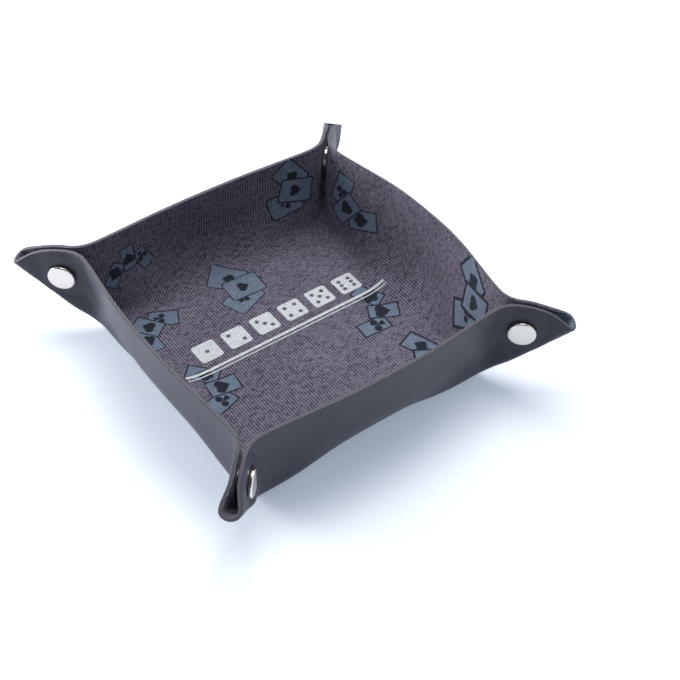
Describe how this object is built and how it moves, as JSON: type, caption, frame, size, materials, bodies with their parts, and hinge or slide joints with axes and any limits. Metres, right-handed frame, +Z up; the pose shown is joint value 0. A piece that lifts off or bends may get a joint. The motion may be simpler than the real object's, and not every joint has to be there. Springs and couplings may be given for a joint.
{
  "type": "dice tray",
  "caption": "Square fold-up tray of lined leatherette whose corners are pinched into ears by snaps, to throw dice in.",
  "frame": {"origin": "on the table, under the middle of the floor", "axes": "+X to the right along the front wall, +Y from the front wall to the back wall, +Z up"},
  "size_m": [0.1774, 0.1774, 0.0529],
  "materials": {
    "leatherette": "matte, fine smooth grain",
    "liner_fabric": null,
    "cap_nickel": "polished nickel",
    "snap_steel": "nickel-plated",
    "spring_wire": "drawn wire"
  },
  "bodies": {
    "root": {"outer_leatherette": "leatherette", "inner_liner": "liner_fabric", "snap_cap_front_left": "cap_nickel", "snap_socket_front_left": "snap_steel", "snap_spring_front_left": "spring_wire", "snap_cap_front_right": "cap_nickel", "snap_socket_front_right": "snap_steel", "snap_spring_front_right": "spring_wire", "snap_cap_back_right": "cap_nickel", "snap_socket_back_right": "snap_steel", "snap_spring_back_right": "spring_wire", "snap_cap_back_left": "cap_nickel", "snap_socket_back_left": "snap_steel", "snap_spring_back_left": "spring_wire"},
    "stud_half_front_left": {"snap_stud_front_left": "snap_steel", "snap_post_front_left": "snap_steel"},
    "stud_half_front_right": {"snap_stud_front_right": "snap_steel", "snap_post_front_right": "snap_steel"},
    "stud_half_back_right": {"snap_stud_back_right": "snap_steel", "snap_post_back_right": "snap_steel"},
    "stud_half_back_left": {"snap_stud_back_left": "snap_steel", "snap_post_back_left": "snap_steel"}
  },
  "joints": [
    {"name": "ear_front_left", "type": "hinge", "parent": "root", "child": "stud_half_front_left", "pos_m": [-0.07662, -0.07662, 0.02477], "axis": [-0.5143, -0.5143, 0.6863], "range_deg": [0, 25], "deforming": ["outer_leatherette", "inner_liner", "snap_spring_front_left"]},
    {"name": "ear_front_right", "type": "hinge", "parent": "root", "child": "stud_half_front_right", "pos_m": [0.07662, -0.07662, 0.02477], "axis": [-0.5143, 0.5143, -0.6863], "range_deg": [0, 25], "deforming": ["outer_leatherette", "inner_liner", "snap_spring_front_right"]},
    {"name": "ear_back_right", "type": "hinge", "parent": "root", "child": "stud_half_back_right", "pos_m": [0.07662, 0.07662, 0.02477], "axis": [0.5143, 0.5143, 0.6863], "range_deg": [0, 25], "deforming": ["outer_leatherette", "inner_liner", "snap_spring_back_right"]},
    {"name": "ear_back_left", "type": "hinge", "parent": "root", "child": "stud_half_back_left", "pos_m": [-0.07662, 0.07662, 0.02477], "axis": [-0.5143, 0.5143, 0.6863], "range_deg": [0, 25], "deforming": ["outer_leatherette", "inner_liner", "snap_spring_back_left"]}
  ]
}
